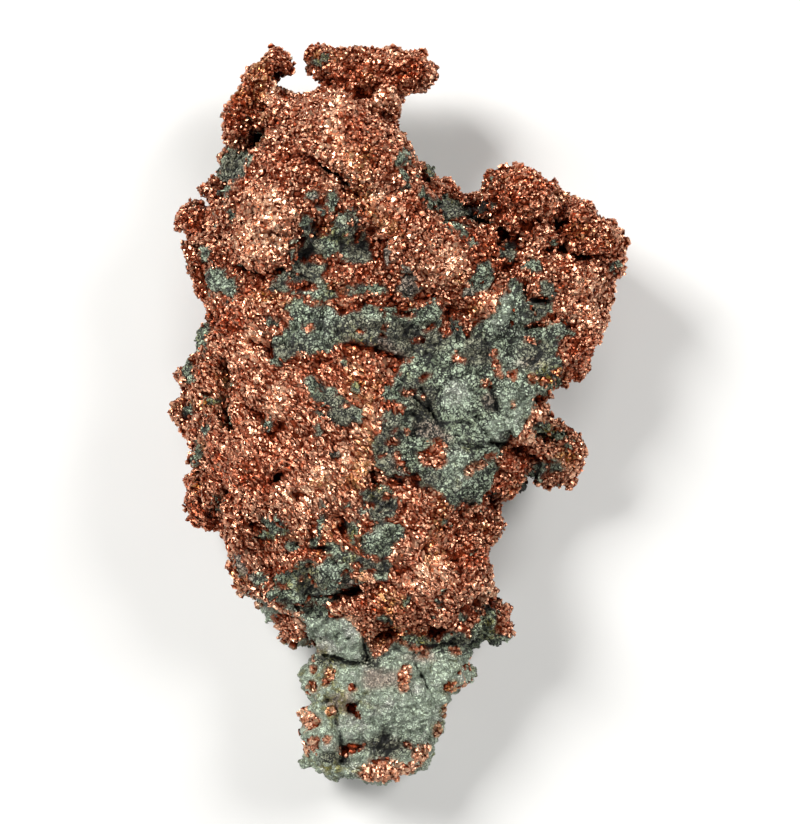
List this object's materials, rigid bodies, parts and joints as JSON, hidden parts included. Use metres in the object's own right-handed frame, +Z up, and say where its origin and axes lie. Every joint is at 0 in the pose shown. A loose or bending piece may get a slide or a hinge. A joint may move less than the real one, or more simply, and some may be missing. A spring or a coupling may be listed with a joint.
{
  "type": "native copper nugget",
  "caption": "Knobbly plate of native copper grown through green chlorite rock, lying on its back, with a stony foot at one end and a finger and a bar of copper at the other.",
  "frame": {"origin": "on the surface it lies on, under the middle of the nugget's outline", "axes": "+Y along the nugget, from the stony foot to the copper finger; +Z up, out of the broad face that shows; +X across it"},
  "size_m": [0.0644, 0.104, 0.035],
  "materials": {
    "native_copper": "rough, crystalline, glittering metal",
    "green_matrix": "dull, granular green rock"
  },
  "bodies": {
    "root": {"copper_nugget": "native_copper"}
  },
  "joints": []
}
